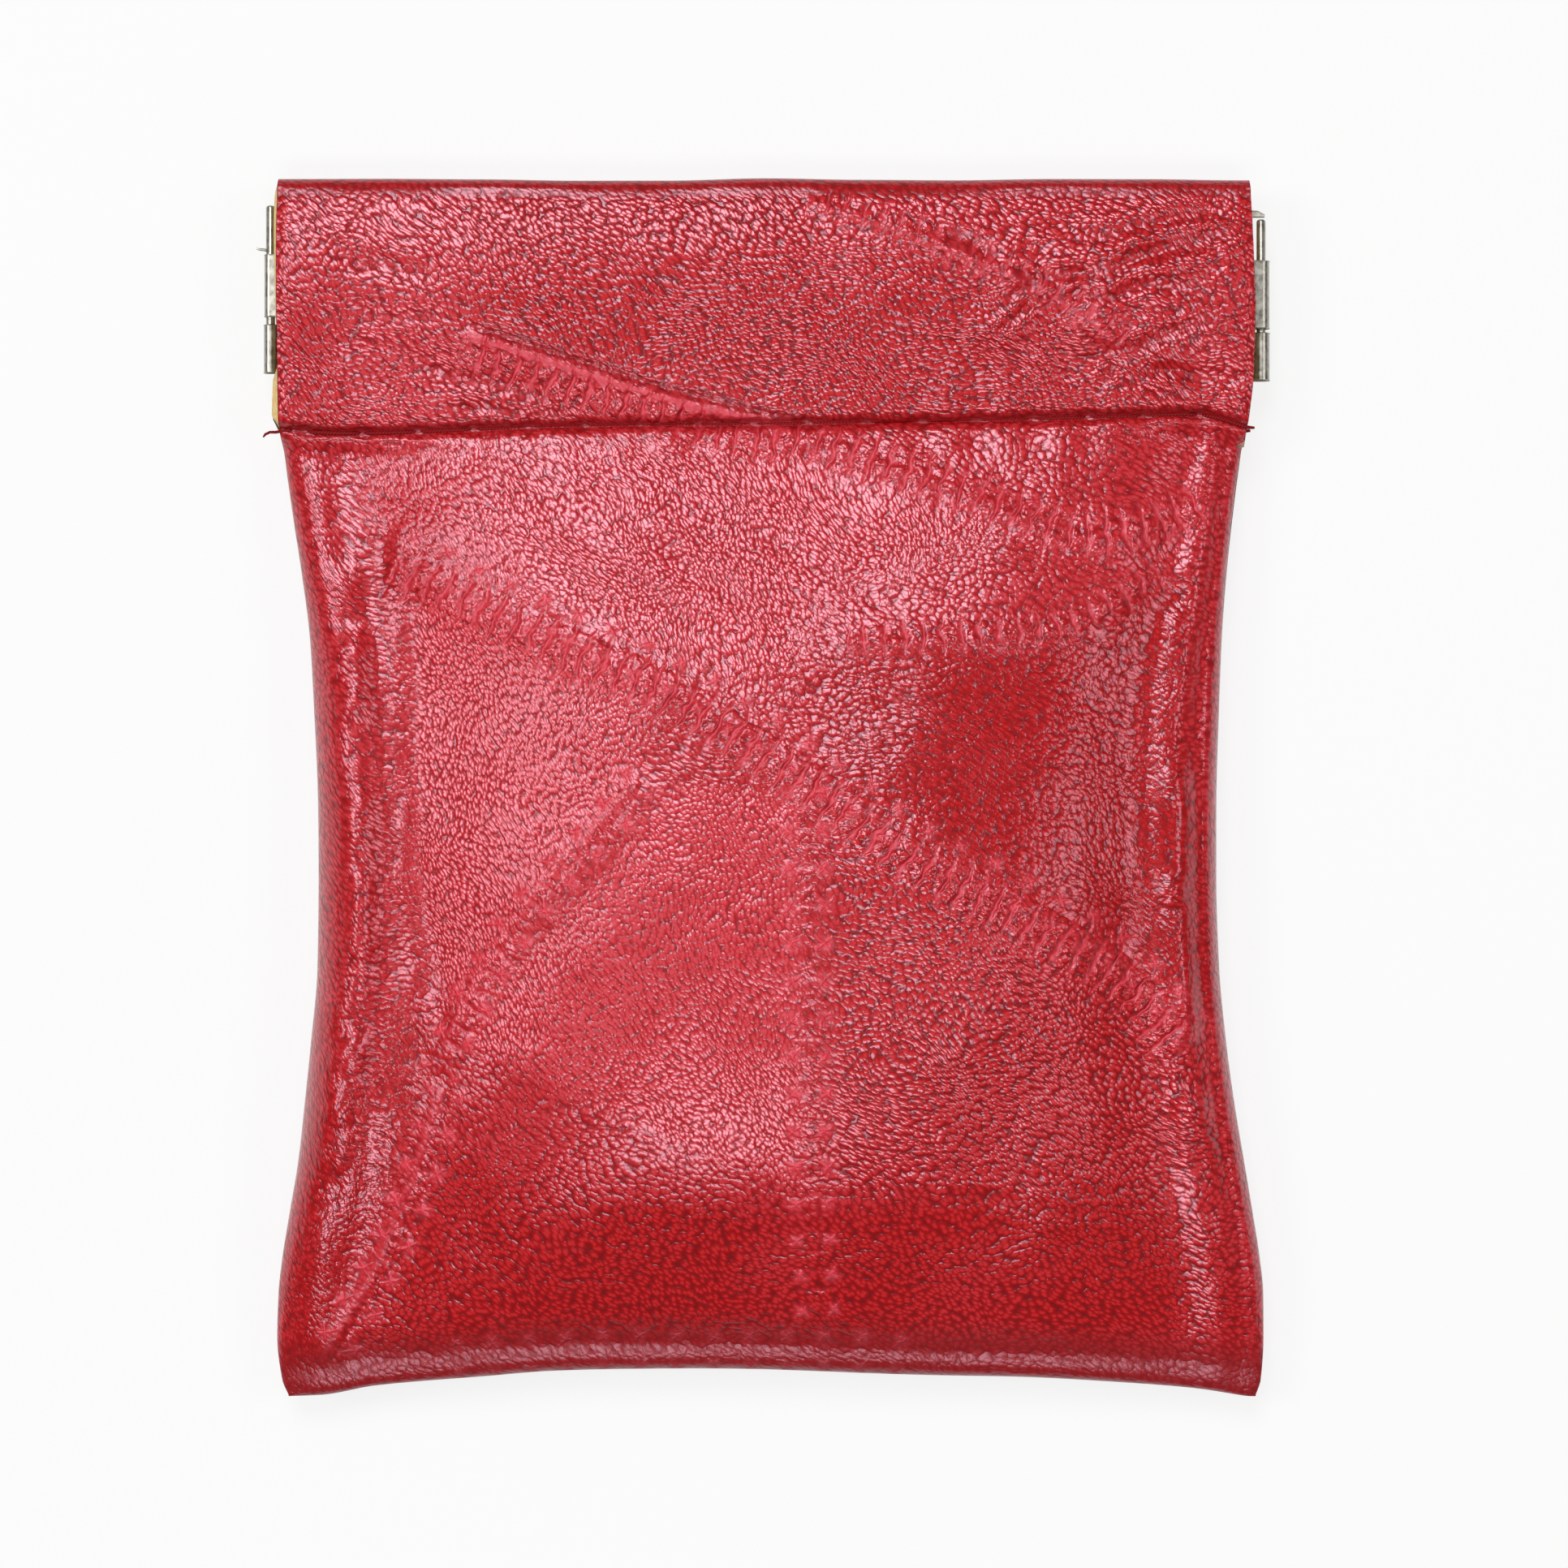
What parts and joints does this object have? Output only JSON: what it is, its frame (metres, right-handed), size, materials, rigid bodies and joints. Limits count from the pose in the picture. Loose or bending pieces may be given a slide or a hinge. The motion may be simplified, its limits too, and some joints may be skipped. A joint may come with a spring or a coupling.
{
  "type": "squeeze frame coin wallet",
  "caption": "Small soft leather coin pouch with a sprung strip frame in its cuff; squeezing the two hinged ends bows the strips apart and opens the mouth.",
  "frame": {"origin": "centre of the outline in X and Y, at the back belly's flat face in Z, with the wallet closed and lying on its back", "axes": "+X to the right hinge, +Y from the bottom seam to the mouth, +Z out of the front"},
  "size_m": [0.08, 0.096, 0.013],
  "materials": {
    "red_leather": "glossy grained",
    "spring_steel": "polished nickel-plated",
    "red_thread": "waxed thread"
  },
  "bodies": {
    "back_mid": {"back_leather_mid": "red_leather", "back_strip_mid": "spring_steel", "back_mid_cuff_stitches": "red_thread", "bottom_seam_thread": "red_thread"},
    "back_left_inner": {"back_leather_left_inner": "red_leather", "back_strip_left_inner": "spring_steel", "back_left_inner_cuff_stitches": "red_thread"},
    "back_left_outer": {"back_leather_left_outer": "red_leather", "back_strip_left_outer": "spring_steel", "back_left_outer_cuff_stitches": "red_thread", "left_pin": "spring_steel", "left_seam_thread": "red_thread"},
    "front_left_outer": {"front_leather_left_outer": "red_leather", "front_strip_left_outer": "spring_steel", "front_left_outer_cuff_stitches": "red_thread"},
    "front_left_inner": {"front_leather_left_inner": "red_leather", "front_strip_left_inner": "spring_steel", "front_left_inner_cuff_stitches": "red_thread"},
    "front_left_mid": {"front_leather_left_mid": "red_leather", "front_strip_left_mid": "spring_steel", "front_left_mid_cuff_stitches": "red_thread"},
    "back_right_inner": {"back_leather_right_inner": "red_leather", "back_strip_right_inner": "spring_steel", "back_right_inner_cuff_stitches": "red_thread"},
    "back_right_outer": {"back_leather_right_outer": "red_leather", "back_strip_right_outer": "spring_steel", "back_right_outer_cuff_stitches": "red_thread", "right_pin": "spring_steel", "right_seam_thread": "red_thread"},
    "front_right_outer": {"front_leather_right_outer": "red_leather", "front_strip_right_outer": "spring_steel", "front_right_outer_cuff_stitches": "red_thread"},
    "front_right_inner": {"front_leather_right_inner": "red_leather", "front_strip_right_inner": "spring_steel", "front_right_inner_cuff_stitches": "red_thread"},
    "front_right_mid": {"front_leather_right_mid": "red_leather", "front_strip_right_mid": "spring_steel", "front_right_mid_cuff_stitches": "red_thread"}
  },
  "joints": [
    {"name": "back_left_inner_fold", "type": "hinge", "parent": "back_mid", "child": "back_left_inner", "pos_m": [-0.0392, -0.048, 0.004], "axis": [0.3388, 0.9409, 0], "range_deg": [0, 22.01]},
    {"name": "back_left_outer_fold", "type": "hinge", "parent": "back_left_inner", "child": "back_left_outer", "pos_m": [-0.0392, -0.048, 0.004], "axis": [0.1772, 0.9842, 0], "range_deg": [0, 22.01]},
    {"name": "left_pin_hinge", "type": "hinge", "parent": "back_left_outer", "child": "front_left_outer", "pos_m": [-0.0392, -0.048, 0.004], "axis": [0, -1, 0], "range_deg": [0, 84.34], "stiffness_Nm_per_rad": 0.01, "springref_deg": -17.19},
    {"name": "front_left_outer_fold", "type": "hinge", "parent": "front_left_outer", "child": "front_left_inner", "pos_m": [-0.0392, -0.048, 0.004], "axis": [0.1772, 0.9842, 0], "range_deg": [0, 22.01]},
    {"name": "front_left_inner_fold", "type": "hinge", "parent": "front_left_inner", "child": "front_left_mid", "pos_m": [-0.0392, -0.048, 0.004], "axis": [0.3388, 0.9409, 0], "range_deg": [0, 22.01]},
    {"name": "back_right_inner_fold", "type": "hinge", "parent": "back_mid", "child": "back_right_inner", "pos_m": [0.0392, -0.048, 0.004], "axis": [0.3388, -0.9409, 0], "range_deg": [0, 22.01]},
    {"name": "back_right_outer_fold", "type": "hinge", "parent": "back_right_inner", "child": "back_right_outer", "pos_m": [0.0392, -0.048, 0.004], "axis": [0.1772, -0.9842, 0], "range_deg": [0, 22.01]},
    {"name": "right_pin_hinge", "type": "hinge", "parent": "back_right_outer", "child": "front_right_outer", "pos_m": [0.0392, -0.048, 0.004], "axis": [0, 1, 0], "range_deg": [0, 84.34]},
    {"name": "front_right_outer_fold", "type": "hinge", "parent": "front_right_outer", "child": "front_right_inner", "pos_m": [0.0392, -0.048, 0.004], "axis": [0.1772, -0.9842, 0], "range_deg": [0, 22.01]},
    {"name": "front_right_inner_fold", "type": "hinge", "parent": "front_right_inner", "child": "front_right_mid", "pos_m": [0.0392, -0.048, 0.004], "axis": [0.3388, -0.9409, 0], "range_deg": [0, 22.01]}
  ],
  "couplings": [
    {"joint": "back_left_inner_fold", "follows": "left_pin_hinge", "ratio": 0.26086},
    {"joint": "back_left_outer_fold", "follows": "left_pin_hinge", "ratio": 0.26086},
    {"joint": "front_left_outer_fold", "follows": "left_pin_hinge", "ratio": 0.26086},
    {"joint": "front_left_inner_fold", "follows": "left_pin_hinge", "ratio": 0.26086},
    {"joint": "back_right_inner_fold", "follows": "left_pin_hinge", "ratio": 0.26086},
    {"joint": "back_right_outer_fold", "follows": "left_pin_hinge", "ratio": 0.26086},
    {"joint": "right_pin_hinge", "follows": "left_pin_hinge", "ratio": 1},
    {"joint": "front_right_outer_fold", "follows": "left_pin_hinge", "ratio": 0.26086},
    {"joint": "front_right_inner_fold", "follows": "left_pin_hinge", "ratio": 0.26086}
  ]
}
